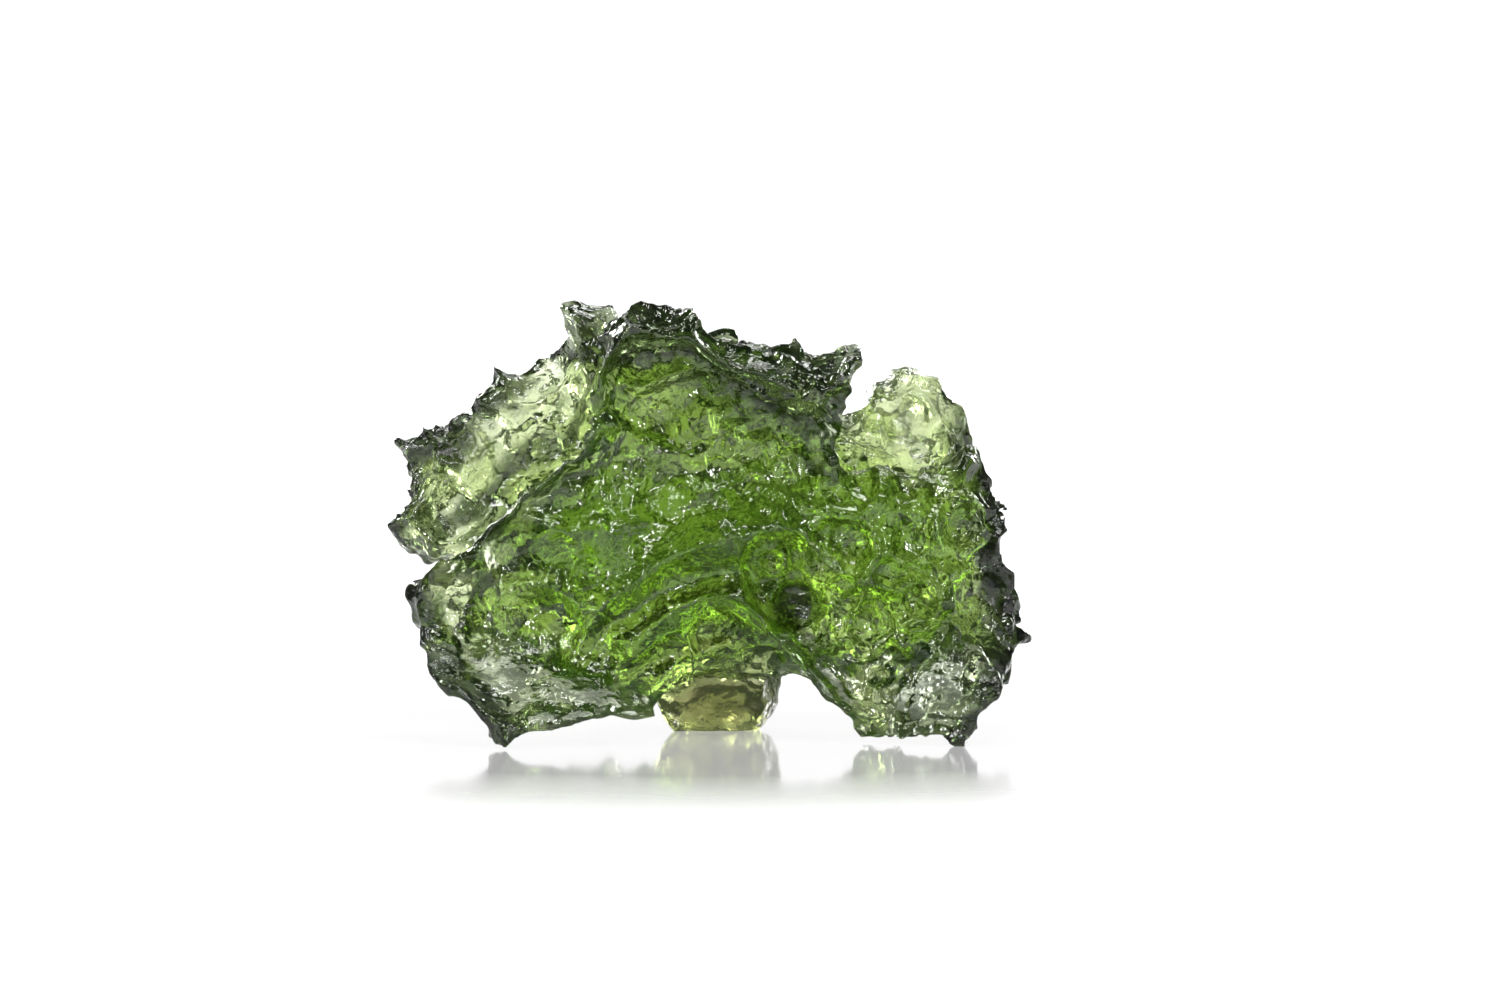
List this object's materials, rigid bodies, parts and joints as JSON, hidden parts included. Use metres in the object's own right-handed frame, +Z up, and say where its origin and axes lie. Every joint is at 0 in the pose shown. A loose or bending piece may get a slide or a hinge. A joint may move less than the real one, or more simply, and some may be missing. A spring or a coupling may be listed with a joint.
{
  "type": "moldavite",
  "caption": "Raw moldavite, a green natural glass stone etched into sharp ridges, pits and thin lobes, standing on its lower edge; a specimen to show or set.",
  "frame": {"origin": "on the ground, under the middle of the stone's box", "axes": "+Z up, +X to the right along the stone's longest side, -Y towards the viewer of the pitted front"},
  "size_m": [0.0222, 0.012, 0.0152],
  "materials": {
    "green_glass": "Bottle-green natural glass, see-through where thin, glossy on the walls of its pits and finely frosted along its ridges."
  },
  "bodies": {
    "root": {"moldavite": "green_glass"}
  },
  "joints": []
}
